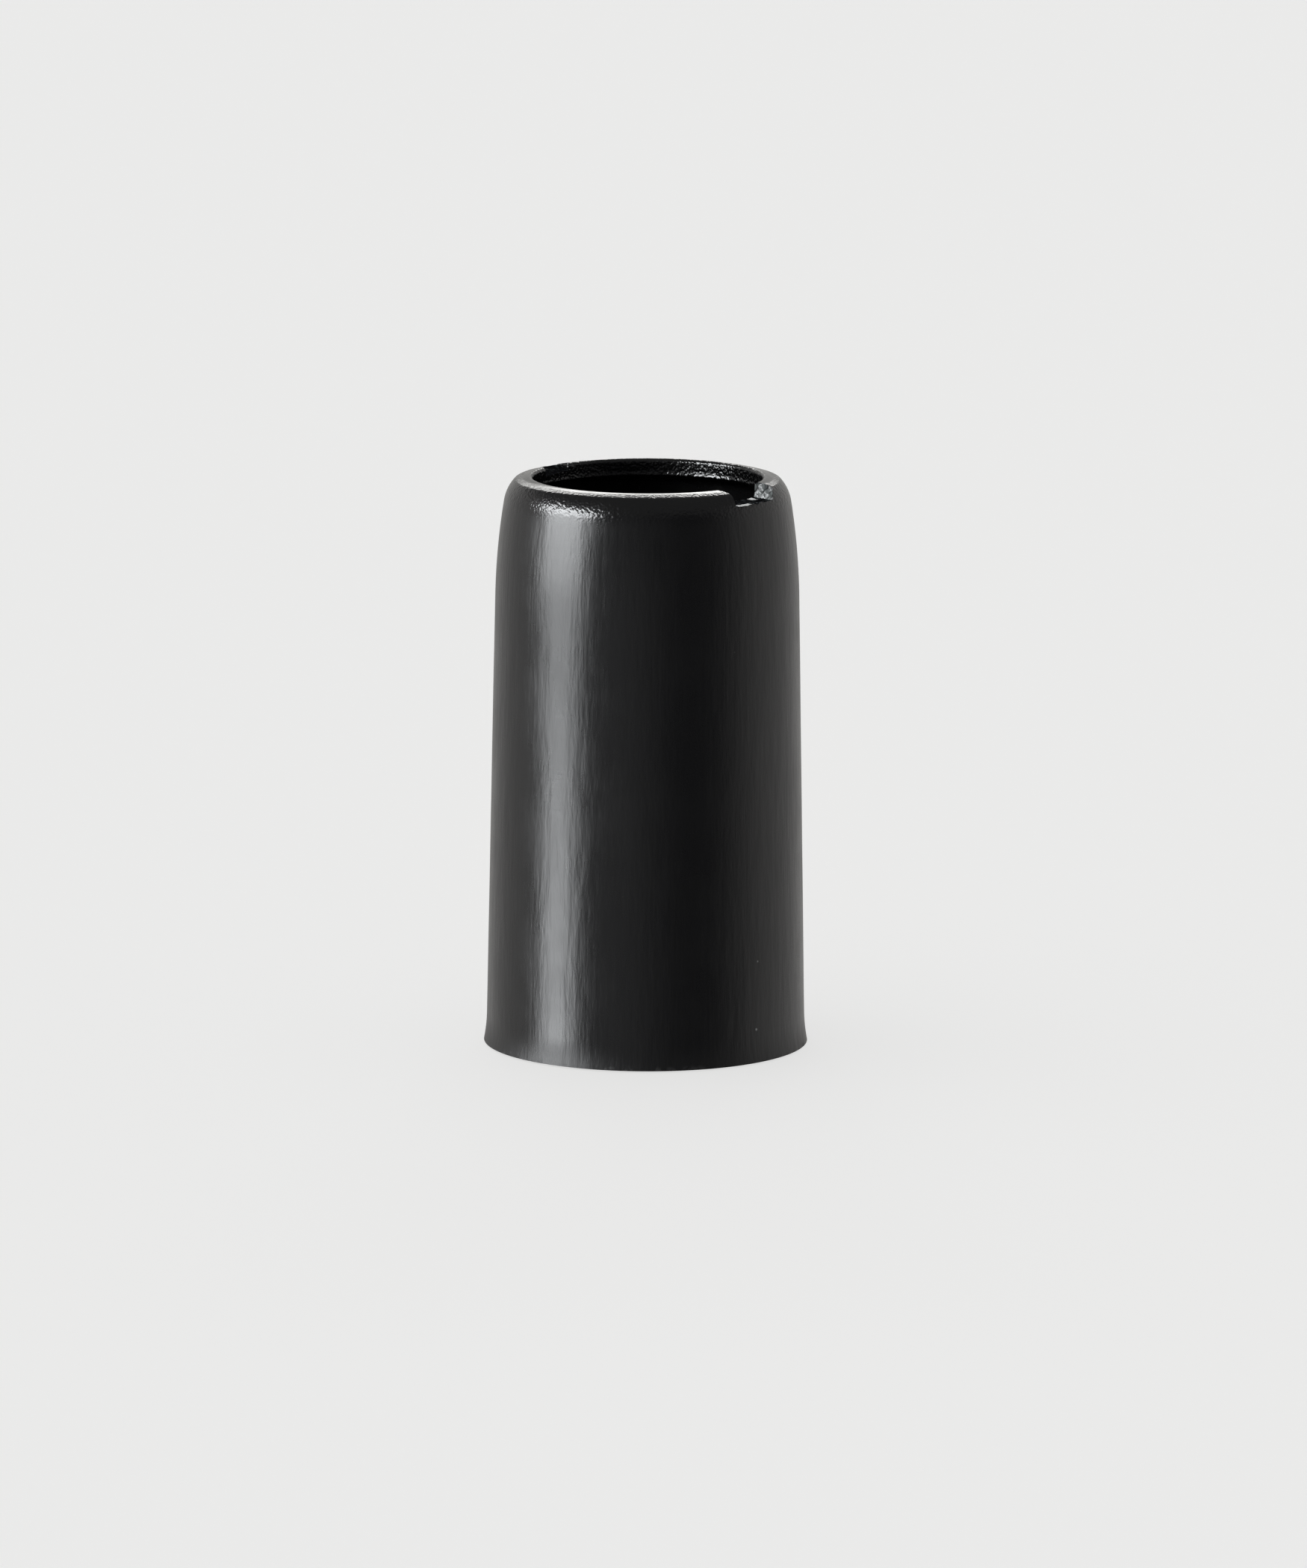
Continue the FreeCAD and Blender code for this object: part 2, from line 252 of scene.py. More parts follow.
def makeFloor():
    bpy.ops.mesh.primitive_plane_add(size=studio["floorSize"])
    floor = bpy.context.object
    floor.name = "floor"
    paper = Shader("floorPaper")
    grain = paper.noise(700, 4)
    glow = paper.blendColour(grain * 0.03, studio["floorGlow"], studio["floorGrain"])
    paper.finish(Base_Color=studio["floorColour"], Roughness=1.0, Specular_IOR_Level=0.0)
    paper.finish(Emission_Color=glow, Emission_Strength=1.0)
    floor.data.materials.append(paper.material)
    floor.visible_glossy = False     # the jar mirrors the room, not the paper


# light panels: direction from -Y towards +X, distance, lower and upper edge, width, brightness.
# A glossy tabletop mirrors the softbox on the left, narrower and with a second faint streak
panels = {
    "softboxLow": (-68.8, 600.0, 30.0, 250.0, 390.0, 10.0),
    "softboxHigh": (-69.0, 600.0, 250.0, 405.0, 540.0, 20.0),
    "mirrored": (-68.8, 600.0, -500.0, -30.0, 215.0, 10.5),
    "mirroredEdge": (-54.5, 600.0, -500.0, -30.0, 90.0, 3.6),
}
panelTint = (0.955, 0.98, 1.0)
fill = {"strength": 0.93, "softness": 90.0, "tilt": 14.0}


def makePanel(name, azimuth, distance, low, high, width, brightness):
    away = onCircle(distance * mm, azimuth)
    height = (low + high) / 2 * mm
    bpy.ops.object.light_add(type="AREA", location=(away.x, away.y, height))
    lamp = bpy.context.object
    lamp.name = name
    lamp.rotation_euler = (-away).to_track_quat("-Z", "Y").to_euler()
    lamp.data.shape = "RECTANGLE"
    lamp.data.size = width * mm
    lamp.data.size_y = (high - low) * mm
    lamp.data.energy = brightness * math.pi * lamp.data.size * lamp.data.size_y
    lamp.data.color = panelTint
    lamp.visible_camera = False
    lamp.visible_diffuse = False     # it shapes the gloss only, so the floor stays even


def makeLights():
    for name, values in panels.items():
        makePanel(name, *values)
    bpy.ops.object.light_add(type="SUN", location=(0, 0, 1))
    lamp = bpy.context.object
    lamp.name = "fill"
    lamp.rotation_euler = (0, -math.radians(fill["tilt"]), 0)
    lamp.data.energy = fill["strength"]
    lamp.data.angle = math.radians(fill["softness"])
    lamp.visible_glossy = False


# the room by direction: dark towards the camera and greyer low on the left, pale at the sides
# and behind, with a window behind that brightens upwards, and dark again overhead
room = {
    "darkRight": (0.06, 0.06, 0.063, 1),
    "darkLeft": (0.33, 0.33, 0.335, 1),
    "darkLeftHigh": (0.18, 0.18, 0.185, 1),
    "leftFade": (0.5, -0.35),
    "highFade": (-0.12, 0.08),
    "side": (0.56, 0.55, 0.54, 1),
    "sideFade": (-0.75, 0.15),
    "behind": (0.5, 0.495, 0.48, 1),
    "behindFade": (0.84, 0.99),
    "overhead": (0.2, 0.2, 0.2, 1),
    "overheadFade": (0.3, 0.62),
    "window": (6.8, 6.75, 6.6, 1),
    "windowFade": (0.3, 0.45),
    "windowTop": (0.53, 0.45),
    "windowSides": (0.42, 0.22),
}


def makeRoom():
    r = room
    bpy.context.scene.world = bpy.data.worlds.new("studio")
    w = Shader("studio", bpy.context.scene.world)
    x, y, z = (w.axis(name) for name in "XYZ")
    left = w.blendColour(z.ramp(*r["highFade"]), r["darkLeft"], r["darkLeftHigh"])
    colour = w.blendColour(x.ramp(*r["leftFade"]), r["darkRight"], left)
    colour = w.blendColour(y.ramp(*r["sideFade"]), colour, r["side"])
    colour = w.blendColour(y.ramp(*r["behindFade"]), colour, r["behind"])
    colour = w.blendColour(z.ramp(*r["overheadFade"]), colour, r["overhead"])
    sides = x.atLeast(0 - x).ramp(*r["windowSides"]) * y.ramp(0, 0.2)
    window = z.ramp(*r["windowFade"]) * z.ramp(*r["windowTop"]) * sides
    w.finish(Color=w.blendColour(window, colour, r["window"]))
    bpy.context.scene.view_settings.view_transform = "Standard"


print("camera, floor and light")
makeCamera()
makeFloor()
makeLights()
makeRoom()


# outer sleeve

sleeve = {
    "level": 99.85,          # where the shoulder would come level
    "bottom": 0.3,           # hangs this far clear of the table
    "bodyRadius": 27.93,     # where the drafted side would meet the table
    "draft": 1.0255,
    "sideBend": 119.0,
    "shoulder": 7.0,
    "rimEdge": 1.05,
    "shoulderStart": 9.2,
    "rimEdgeStart": 41.9,
    "crownStart": 75.0,      # the rim rises inwards over a flat crown
    "crownEnd": 81.0,
    "flareHeight": 5.0,
    "flareRadius": 29.0,
    "wall": 2.4,
    "leadIn": 0.3,
    "leadInHeight": 1.0,
    "mouth": 20.0,
    "lip": 2.6,
    "mouthEdge": 0.65,
    "lipEdge": 0.25,
    "flash": 0.1,            # thin flash at the foot of the lip's upright land
    "flashHeights": (0.75, 0.5, 0.28, 0.18),     # above the lip's underside, going down
    "snapHeight": 9.5,
    "snapHalfWidth": 0.95,
    "snapDepth": 0.4,
    "segments": 320,
    "waviness": 0.07,        # how unevenly the side has cooled
    "wavinessFades": (6.0, 82.0, 94.0),      # grows up to the first height, fades between the others
    "rimTilt": (0.18, 0.1),  # degrees that the rim leans, about X and Y
    "rimFrom": 94.0,
}


def onArc(centre, radius, degrees):
    # the point of an outline's arc where its side leans by an angle from upright
    lean = math.radians(degrees)
    return (centre[0] + radius * math.cos(lean), centre[1] + radius * math.sin(lean))


def arcPoints(centre, radius, start, end, count):
    # points after the first along an arc
    return [onArc(centre, radius, start + (end - start) * i / count) for i in range(1, count + 1)]


def straight(start, end, count):
    # points after the first along a line
    points = []
    for i in range(1, count + 1):
        step = i / count
        points.append(tuple(a + (b - a) * step for a, b in zip(start, end)))
    return points


def sleeveOutline():
    # half of the sleeve's cross-section as (radius, height), up the outside and down the inside
    s = sleeve
    slope = math.tan(math.radians(s["draft"]))
    leans = [s["draft"], s["shoulderStart"], s["rimEdgeStart"], 90]
    sines = [math.sin(math.radians(a)) for a in leans]
    radii = [s["sideBend"], s["shoulder"], s["rimEdge"]]
    rise = sum(r * (b - a) for r, a, b in zip(radii, sines, sines[1:]))
    bendStart = s["level"] - rise

    def side(z):
        return s["bodyRadius"] - slope * z

    def cosine(degrees):
        return math.cos(math.radians(degrees))

    # foot: the flare is an arc that curls outwards
    flareTop = s["bottom"] + s["flareHeight"]
    flareCentre = onArc((side(flareTop), flareTop), s["flareRadius"], s["draft"])
    drop = math.degrees(math.asin((flareCentre[1] - s["bottom"]) / s["flareRadius"]))
    outline = [onArc(flareCentre, s["flareRadius"], 180 + drop)]
    outline += arcPoints(flareCentre, s["flareRadius"], 180 + drop, 180 + s["draft"], 6)
    outline += straight(outline[-1], (side(bendStart), bendStart), 34)

    # side bend, shoulder, rim edge, crown and mouth edge, each tangent to the last
    start = s["draft"]
    bends = [
        (s["sideBend"], s["shoulderStart"], 14),
        (s["shoulder"], s["rimEdgeStart"], 20),
        (s["rimEdge"], s["crownStart"], 7),
        (None, s["crownEnd"], 10),
        (s["mouthEdge"], 180, 14),
    ]
    for radius, end, count in bends:
        r, z = outline[-1]
        if radius is None:
            # the crown takes whatever radius brings the edge to the mouth
            left = r - s["mouth"] - s["mouthEdge"] * (1 + cosine(end))
            radius = left / (cosine(start) - cosine(end))
        centre = onArc((r, z), -radius, start)
        outline += arcPoints(centre, radius, start, end, count)
        start = end

    # upright land, flash and lower edge
    mouth, edge = s["mouth"], s["lipEdge"]
    lipBottom = s["level"] - s["lip"]
    flashTop, *flashHeights = s["flashHeights"]
    outline += straight(outline[-1], (mouth, lipBottom + flashTop), 6)
    for height, part in zip(flashHeights, (0.45, 1, 1)):
        outline.append((mouth - s["flash"] * part, lipBottom + height))
    outline += arcPoints((mouth + edge, lipBottom + edge), edge, 205, 270, 5)

    # hollow corner under the lip, then the cavity wall
    inner = s["sideBend"] - s["wall"]
    bendCentre = onArc((side(bendStart), bendStart), -s["sideBend"], s["draft"])
    cornerStart = onArc(bendCentre, inner, s["shoulderStart"])
    corner = (lipBottom - cornerStart[1]) / (1 - math.sin(math.radians(s["shoulderStart"])))
    cornerCentre = (cornerStart[0] - corner * cosine(s["shoulderStart"]), lipBottom - corner)
    outline += straight(outline[-1], (cornerCentre[0], lipBottom), 4)
    outline += arcPoints(cornerCentre, corner, 90, s["shoulderStart"], 10)
    outline += arcPoints(bendCentre, inner, s["shoulderStart"], s["draft"], 8)

    def cavity(z):
        return (side(z) - s["wall"], z)

    top = s["snapHeight"] + s["snapHalfWidth"]
    low = s["snapHeight"] - s["snapHalfWidth"]
    outline += straight(outline[-1], cavity(top), 16)
    outline.append((cavity(s["snapHeight"])[0] + s["snapDepth"], s["snapHeight"]))
    outline.append(cavity(low))
    outline.append(cavity(s["bottom"] + s["leadInHeight"]))
    outline.append((cavity(s["bottom"])[0] + s["leadIn"], s["bottom"]))
    outline.append(outline[0])
    return outline


def turnOutline(name, outline, segments):
    # a circle is extruded ring by ring along the outline
    radius, z = outline[0]
    deselectAll()
    bpy.ops.mesh.primitive_circle_add(vertices=segments, radius=radius * mm, location=(0, 0, z * mm))
    piece = bpy.context.object
    piece.name = name
    piece.data.name = name
    settle(piece)
    editAll(piece)
    for nextRadius, nextZ in outline[1:]:
        step = (0, 0, (nextZ - z) * mm)
        bpy.ops.mesh.extrude_region_move(TRANSFORM_OT_translate={"value": step})
        widen = nextRadius / radius
        centre = (0, 0, nextZ * mm)
        bpy.ops.transform.resize(value=(widen, widen, 1), center_override=centre)
        radius, z = nextRadius, nextZ
    bpy.ops.mesh.select_all(action="SELECT")
    bpy.ops.mesh.remove_doubles(threshold=1e-6)
    bpy.ops.mesh.normals_make_consistent(inside=False)
    bpy.ops.object.mode_set(mode="OBJECT")
    return piece


def unevenSide(piece):
    # the outside has sunk and swelled a little as it cooled
    group = piece.vertex_groups.new(name="outside")
    s = sleeve
    slope = math.tan(math.radians(s["draft"]))
    low, high, top = s["wavinessFades"]
    for v in piece.data.vertices:
        z = v.co.z / mm
        r = v.co.xy.length / mm
        outside = r > s["bodyRadius"] - s["wall"] * 0.8 - slope * z
        weight = min(1, max(0, (top - z) / (top - high))) * min(1, max(0, z / low))
        if outside and weight > 0:
            group.add([v.index], weight, "REPLACE")
    clouds = bpy.data.textures.new("cooling", "CLOUDS")
    clouds.noise_scale = 0.022
    clouds.noise_depth = 1
    sink = piece.modifiers.new("sink", "DISPLACE")
    sink.texture = clouds
    sink.texture_coords = "LOCAL"
    sink.strength = s["waviness"] * mm
    sink.vertex_group = "outside"
    bakeModifiers(piece)


def tiltRim(piece):
    # the rim isn't quite level
    centre = Vector((0, 0, sleeve["rimFrom"] * mm))
    pick(piece, lambda co: co.z > centre.z)
    for axis, degrees in zip("XY", sleeve["rimTilt"]):
        bpy.ops.transform.rotate(value=math.radians(degrees), orient_axis=axis, center_override=centre)
    bpy.ops.object.mode_set(mode="OBJECT")


# gate notches: each is drawn on the -Y side and turned into place.
# Stations run outwards: radius, the floor's depth at the clean and at the torn end,
# then where the torn end stands in degrees, at the floor and at the rim
notches = {
    "front": {
        "turn": 0,
        "cleanEnd": 38.7,
        "middle": 52.8,
        "corner": 1.0,           # rounds the clean end's upper edge
        "floorGrain": 0.5,       # how rough the floor and the torn end are
        "endGrain": 0.42,
        "stations": [
            (17.0, 1.85, 2.15, 67.8, 68.2),
            (20.0, 1.85, 2.15, 67.4, 68.0),
            (21.2, 1.85, 2.2, 66.4, 68.6),
            (22.6, 1.8, 2.2, 64.6, 69.0),
            (23.6, 1.75, 2.05, 63.0, 66.0),
            (24.6, 2.25, 1.9, 61.6, 64.2),
            (28.0, 4.2, 1.6, 60.6, 63.4),
        ],
    },
    "back": {
        "turn": 180,
        "cleanEnd": 43.6,
        "middle": 53.3,
        "corner": 0.5,
        "floorGrain": 0.3,
        "endGrain": 0.34,
        "stations": [
            (17.0, 1.2, 1.6, 63.4, 63.6),
            (20.0, 0.95, 1.3, 62.6, 63.0),
            (21.2, 0.8, 1.0, 61.6, 62.0),
            (22.6, 0.4, 0.45, 59.6, 60.2),
            (24.0, -0.1, -0.1, 58.6, 59.4),
            (28.0, -1.3, -1.3, 58.0, 58.6),
        ],
    },
}


def notchCutter(notch, materials):
    rim = (sleeve["level"] + 0.45) * mm      # just above the crown
    top = (sleeve["level"] + 3) * mm
    radius, cleanDepth, tornDepth, lowEnd, highEnd = notch["stations"][0]
    floor = (sleeve["level"] - cleanDepth) * mm

    def across(radius, degrees):
        return radius * mm * math.tan(math.radians(degrees - notch["middle"]))

    # the cross-section, square to the notch's middle line
    left = across(radius, notch["cleanEnd"])
    right = across(radius, lowEnd)
    deselectAll()
    middle = ((left + right) / 2, -radius * mm, (floor + top) / 2)
    bpy.ops.mesh.primitive_plane_add(size=1, location=middle, rotation=(math.pi / 2, 0, 0))
    cutter = bpy.context.object
    cutter.name = "notchCutter"
    cutter.scale = (right - left, top - floor, 1)
    settle(cutter)
    editAll(cutter)
    bpy.ops.mesh.bisect(plane_co=(0, 0, rim), plane_no=(0, 0, 1))

    # the clean end flares above the rim, and the corner that this makes is rounded
    def isUpperLeft(co):
        return abs(co.x - left) < 1e-6 and co.z > rim

    def isCorner(co):
        return (co - Vector((left, -radius * mm, rim))).length < 1e-6
    corner = notch["corner"] * radius / sleeve["mouth"] * mm
    pick(cutter, isUpperLeft, "EDGE")
    bpy.ops.mesh.extrude_region_move(TRANSFORM_OT_translate={"value": (-corner, 0, 0)})
    editAll(cutter)
    bpy.ops.mesh.dissolve_faces()
    pick(cutter, isCorner)
    bpy.ops.mesh.bevel(offset=corner, segments=5, affect="VERTICES", profile=0.5)
    bpy.ops.mesh.select_all(action="SELECT")

    # outwards station by station: everything widens with the radius, the rest is set one by one
    for nextRadius, cleanDepth, tornDepth, lowEnd, highEnd in notch["stations"][1:]:
        bpy.ops.object.mode_set(mode="EDIT")
        bpy.ops.mesh.select_mode(type="FACE")
        step = (0, -(nextRadius - radius) * mm, 0)
        bpy.ops.mesh.extrude_region_move(TRANSFORM_OT_translate={"value": step})
        widen = nextRadius / radius
        centre = (0, -nextRadius * mm, 0)
        bpy.ops.transform.resize(value=(widen, 1, 1), center_override=centre)
        bpy.ops.object.mode_set(mode="OBJECT")
        moved = [v for v in cutter.data.vertices if v.select]
        lowest = sorted(moved, key=lambda v: v.co.z)[:2]
        for v in moved:
            torn = v.co.x > 0
            if torn:
                v.co.x = across(nextRadius, lowEnd if v in lowest else highEnd)
            if v in lowest:
                v.co.z = (sleeve["level"] - (tornDepth if torn else cleanDepth)) * mm
        radius = nextRadius
    editAll(cutter)
    bpy.ops.mesh.normals_make_consistent(inside=False)
    bpy.ops.object.mode_set(mode="OBJECT")
    roughenCutter(cutter, notch, materials)
    return cutter


def roughenCutter(cutter, notch, materials):
    # the torn end and the floor are marked, cut fine and broken up
    for material in materials:
        cutter.data.materials.append(material)

    def isTornEnd(face):
        return face.normal.x > 0.5 and face.center.x > 1.5 * mm

    def isFloor(face):
        return face.normal.z < -0.5 and face.center.x > -2 * mm
    for i, test in ((1, isTornEnd), (2, isFloor)):
        pick(cutter, test, "FACE")
        cutter.active_material_index = i
        bpy.ops.object.material_slot_assign()
    pick(cutter, lambda face: face.material_index > 0, "FACE")
    bpy.ops.mesh.subdivide(number_cuts=17)
    bpy.ops.object.mode_set(mode="OBJECT")

    ends = cutter.vertex_groups.new(name="tornEnd")
    floors = cutter.vertex_groups.new(name="floor")
    torn = {v for f in cutter.data.polygons if f.material_index == 1 for v in f.vertices}
    low = {v for f in cutter.data.polygons if f.material_index == 2 for v in f.vertices}
    ends.add(sorted(torn), 1, "REPLACE")
    floors.add(sorted(low - torn), 1, "REPLACE")
    addGrain(cutter, "facets", "VORONOI", 0.0013, notch["endGrain"], "tornEnd", "X")
    addGrain(cutter, "pits", "CLOUDS", 0.0014, notch["floorGrain"], "floor", "Z")
    bakeModifiers(cutter)


def addGrain(piece, name, kind, size, height, group, direction):
    pattern = bpy.data.textures.new(name, kind)
    pattern.noise_scale = size
    if kind == "VORONOI":
        pattern.distance_metric = "DISTANCE"
        pattern.noise_intensity = 1.3
    grain = piece.modifiers.new(name, "DISPLACE")
    grain.texture = pattern
    grain.texture_coords = "LOCAL"
    grain.direction = direction
    grain.strength = height * mm
    grain.mid_level = 0.5
    grain.vertex_group = group


def cutNotches(piece, materials):
    for name, notch in notches.items():
        print("notch", name)
        cutter = notchCutter(notch, materials)
        cutter.rotation_euler.z = math.radians(notch["middle"] + notch["turn"])
        settle(cutter)
        cut = piece.modifiers.new("notch", "BOOLEAN")
        cut.operation = "DIFFERENCE"
        cut.solver = "MANIFOLD"
        cut.material_mode = "TRANSFER"
        cut.object = cutter
        bakeModifiers(piece)
        bpy.data.objects.remove(cutter)


# materials

blackPlastic = {
    "colour": (0.0045, 0.0045, 0.005, 1),
    "scuffed": (0.02, 0.02, 0.021, 1),
    "dust": (0.34, 0.35, 0.35, 1),
    "roughness": 0.26,
    "peelFrom": 94.6,        # orange peel covers the shoulder and lip, from here
    "peelTo": 97.6,
    "peelSize": 0.4,         # millimetres
    "peelDepth": 0.11,
    "land": (20.9, 20.4),    # radius, where the lip's upright land begins
    "crown": (20.4, 20.7, 21.3, 22.1),   # the inner half of the rim's crown is polished smooth
    "crownFrom": (99.3, 99.7),
    "mottleDepth": 0.075,    # uneven cooling marks
    "drawDepth": 0.035,      # fine upright lines left by the mould
    "wipeDepth": 0.014,      # slanting wipe marks
    "wipeSlant": 32,
    "footWear": (1.3, 0.4),  # the foot's outer edge is scuffed, below here
    "footEdge": (27.5, 27.9),
}


def makeBlackPlastic():
    b = blackPlastic
    m = Shader("blackPlastic")
    radius = m.radius()
    z = m.axis("Z") / mm

    # orange peel
    peelMask = z.ramp(b["peelFrom"], b["peelTo"])
    peel = m.noise(1 / (b["peelSize"] * mm), 0.6, 0.4)
    dimples = m.cells(1 / (b["peelSize"] * 1.6 * mm), "SMOOTH_F1").ramp(0.1, 0.75)
    inside, inner, outer, outside = b["crown"]
    crown = radius.ramp(inside, inner) * radius.ramp(outside, outer) * z.ramp(*b["crownFrom"])
    land = radius.ramp(*b["land"])
    peelStrength = peelMask * (0.6 + land * 0.35) * (1 - crown * 0.92)
    fine = m.noise(2600, 2)

    # upright draw lines fade below the shoulder and come back softly
    drawn = m.noise(1, 3, 0.6, m.stretched((1500, 1500, 26)))
    patches = m.noise(26, 2).ramp(0.3, 0.75, 0.15, 1.0)
    mottle = m.noise(1, 3, 0.6, m.stretched((560, 560, 110)))

    # wipe marks slant down to the right
    slant = (0, math.radians(b["wipeSlant"]), 0)
    wiped = m.noise(1, 2, 0.55, m.stretched((180, 60, 1900), slant))
    wipedPatches = m.noise(38, 1).ramp(0.42, 0.7)

    height = m.bump(fine, 0.002 * mm, 0.5)
    height = m.bump(drawn, b["drawDepth"] * mm, patches * (1 - peelMask), height)
    height = m.bump(mottle, b["mottleDepth"] * mm, 1 - peelMask, height)
    height = m.bump(wiped, b["wipeDepth"] * mm, wipedPatches * (1 - peelMask), height)
    height = m.bump(peel + dimples * 0.4, b["peelDepth"] * mm, peelStrength, height)

    # handling smudges, and dust specks here and there
    smudge = m.noise(90, 3, 0.6).ramp(0.35, 0.75)
    rough = b["roughness"] + smudge * 0.07 + (drawn - 0.5) * 0.06 - peelMask * 0.09
    rough = rough + z.ramp(5.5, 0.5) * 0.12 - crown * 0.06
    chance = m.axis("X", m.cells(260, output="Color"))
    speck = m.cells(260).ramp(0.10, 0.04) * chance.ramp(0.965, 0.97)
    footWear = z.ramp(*b["footWear"]) * m.noise(900, 3).ramp(0.5, 0.62) * radius.ramp(*b["footEdge"])
    colour = m.blendColour(footWear * 0.7, b["colour"], b["scuffed"])
    colour = m.blendColour(speck, colour, b["dust"])
    return m.finish(
        Base_Color=colour,
        Roughness=rough + speck * 0.4 + footWear * 0.2,
        Normal=height,
        IOR=1.5,
    )


tornPlastic = {
    # white is stretched plastic, and also the painted highlight along the notch floor's outer edge
    "white": (0.9, 0.92, 0.92, 1),
    "pale": (0.50, 0.55, 0.55, 1),
    "grey": (0.10, 0.115, 0.12, 1),
    "dark": (0.006, 0.006, 0.007, 1),
    "roughness": 0.34,
    "outside": (23.6, 24.2),     # radius, the torn end goes dark towards the outside
    # radius where the painted highlight along the notch floor's outer edge begins
    "floorHighlightEdge": (23.65, 23.8),
    "burrs": (23.2, 23.6),
    "patchPlace": (18.2, 9.9),   # a white patch on the floor, to the right and towards the front
    "patchRadius": (1.15, 0.95),
}


def makeTornEnd():
    # where the gate was snapped off, the plastic is stretched white
    t = tornPlastic
    m = Shader("tornEnd")
    radius = m.radius()
    crack = m.cells(900, "DISTANCE_TO_EDGE").ramp(0.015, 0.11)
    shade = m.axis("X", m.cells(900, output="Color")).ramp(0.15, 0.85)
    streak = m.noise(1, 3, 0.6, m.stretched((2600, 500, 500), (0.5, 0.9, 0.3)))
    colour = m.blendColour(shade * 0.75 + streak.ramp(0.4, 0.65) * 0.4, t["grey"], t["pale"])
    colour = m.blendColour((1 - crack) * 0.85, colour, t["dark"])
    ragged = (m.noise(1500, 3) - 0.5) * 0.6
    colour = m.blendColour((radius + ragged).ramp(*t["outside"]), colour, t["dark"])
    height = m.bump(m.cells(1200), 0.14 * mm, 0.9)
    height = m.bump(streak, 0.06 * mm, 0.8, height)
    return m.finish(Base_Color=colour, Roughness=t["roughness"], Normal=height, IOR=1.5)


def makeTornFloor():
    # mostly dark, with a painted highlight in white along its outer edge, and white where the tear ran
    # out
    t = tornPlastic
    m = Shader("tornFloor")
    radius = m.radius()
    right = m.axis("X") / mm
    forward = (0 - m.axis("Y")) / mm
    ragged = (m.noise(1500, 3) - 0.5) * 0.8
    front = forward.ramp(0, 1)
    # the painted highlight along the outer edge stops a little before the torn end
    edge = (radius + ragged * 0.3).ramp(*t["floorHighlightEdge"]) * (right / forward).ramp(1.12, 1.06)
    # a white patch at the inner corner by the torn end of the front notch
    patchX, patchY = t["patchPlace"]
    patch = ((right - patchX) ** 2 + (forward - patchY) ** 2) ** 0.5
    patch = (patch + ragged).ramp(*t["patchRadius"])
    # burrs where the floor runs out through the side
    burrs = (radius + ragged).ramp(*t["burrs"]) * m.noise(1300, 3, 0.6).ramp(0.5, 0.62) * front
    grey = m.noise(1100, 3, 0.6).ramp(0.5, 0.7) * 0.4
    colour = m.blendColour(grey.atLeast(burrs), t["dark"], t["grey"])
    # paints the highlight along the front notch floor's outer edge, and the white patch
    colour = m.blendColour((edge * front).atLeast(patch), colour, t["white"])
    height = m.bump(m.noise(1400, 4, 0.6), 0.2 * mm, 0.9)
    rough = t["roughness"] + 0.15
    return m.finish(Base_Color=colour, Roughness=rough, Normal=height, Specular_IOR_Level=0.0)


def makeOuterSleeve():
    print("outer sleeve")
    materials = [makeBlackPlastic(), makeTornEnd(), makeTornFloor()]
    piece = turnOutline("outerSleeve", sleeveOutline(), sleeve["segments"])
    unevenSide(piece)
    tiltRim(piece)
    piece.data.materials.append(materials[0])
    cutNotches(piece, materials)
    activate(piece)
    bpy.ops.object.shade_smooth_by_angle(angle=math.radians(32))
    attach(piece, "jar")
    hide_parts("outer_sleeve")


# the pieces inside and under

basePlastic = {
    "colours": ((0.009, 0.009, 0.0095, 1), (0.016, 0.016, 0.017, 1)),
    "roughness": 0.42,
    "grainDepth": 0.006,
}


def makeBasePlastic():
    b = basePlastic
    m = Shader("basePlastic")
    swirl = m.noise(160, 3, 0.6, distortion=1.2)
    grain = m.noise(2200, 2)
    height = m.bump(grain, b["grainDepth"] * mm, 0.7)
    colour = m.blendColour(swirl.ramp(0.4, 0.7) * 0.5, *b["colours"])
    return m.finish(Base_Color=colour, Roughness=b["roughness"] + swirl * 0.12, Normal=height, IOR=1.5)


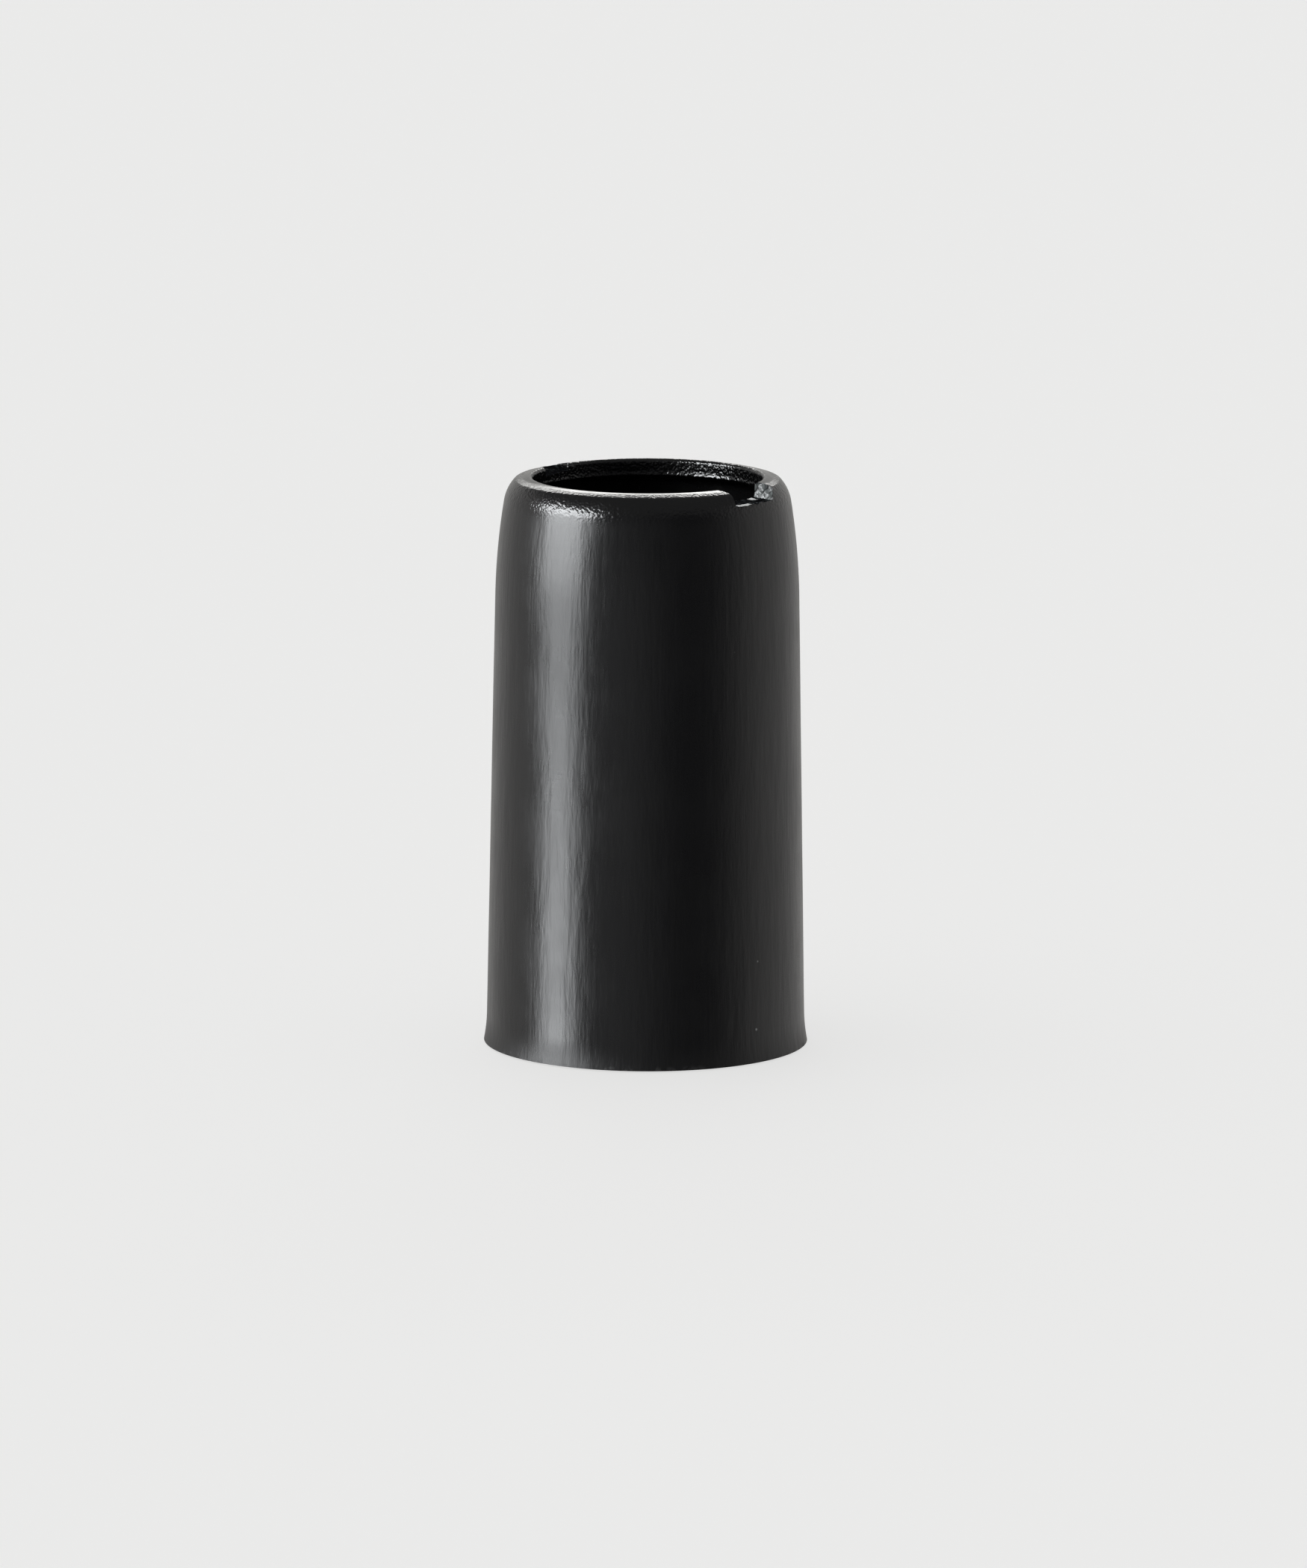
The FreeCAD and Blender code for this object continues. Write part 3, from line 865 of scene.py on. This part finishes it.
linerGlass = {
    "colour": (0.97, 0.985, 0.98, 1),
    "roughness": 0.02,
    "film": 0.05,            # how much rougher the wax film makes it
    "rippleDepth": 0.05,
}


def makeLinerGlass():
    g = linerGlass
    m = Shader("linerGlass")
    ripple = m.noise(1, 2, 0.5, m.stretched((90, 90, 30)))
    film = m.noise(120, 4, 0.65).ramp(0.45, 0.75)
    height = m.bump(ripple, g["rippleDepth"] * mm, 0.6)
    return m.finish(
        Base_Color=g["colour"],
        Roughness=g["roughness"] + film * g["film"],
        Transmission_Weight=1.0,
        IOR=1.5,
        Normal=height,
    )


cushionSilicone = {
    "colours": ((0.2, 0.2, 0.195, 1), (0.33, 0.325, 0.31, 1)),
    "roughness": 0.72,
    "poreDepth": 0.05,
}


def makeSilicone():
    c = cushionSilicone
    m = Shader("cushionSilicone")
    pores = m.cells(1400).ramp(0.1, 0.5)
    tone = m.noise(300, 3)
    height = m.bump(pores, c["poreDepth"] * mm, 0.8)
    colour = m.blendColour(pores * 0.5 + tone * 0.3, *c["colours"])
    return m.finish(Base_Color=colour, Roughness=c["roughness"], Normal=height, IOR=1.42)


footRubber = {
    "colours": ((0.012, 0.012, 0.012, 1), (0.05, 0.048, 0.045, 1)),
    "roughness": 0.7,
    "grainDepth": 0.03,
}


def makeFootRubber():
    f = footRubber
    m = Shader("footRubber")
    grain = m.noise(1800, 3, 0.6)
    dusty = m.noise(180, 3, 0.6).ramp(0.45, 0.7)
    height = m.bump(grain, f["grainDepth"] * mm, 0.7)
    colour = m.blendColour(dusty * 0.6, *f["colours"])
    return m.finish(Base_Color=colour, Roughness=f["roughness"] + dusty * 0.15, Normal=height)


def dressNodes():
    print("base, liner and rings")
    finishes = {
        "base_plug": makeBasePlastic,
        "glass_liner": makeLinerGlass,
        "cushion_ring": makeSilicone,
        "foot_ring": makeFootRubber,
    }
    for name, makeFinish in finishes.items():
        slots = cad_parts[name].data.materials
        slots.clear()
        slots.append(makeFinish())


makeOuterSleeve()
dressNodes()

deselectAll()
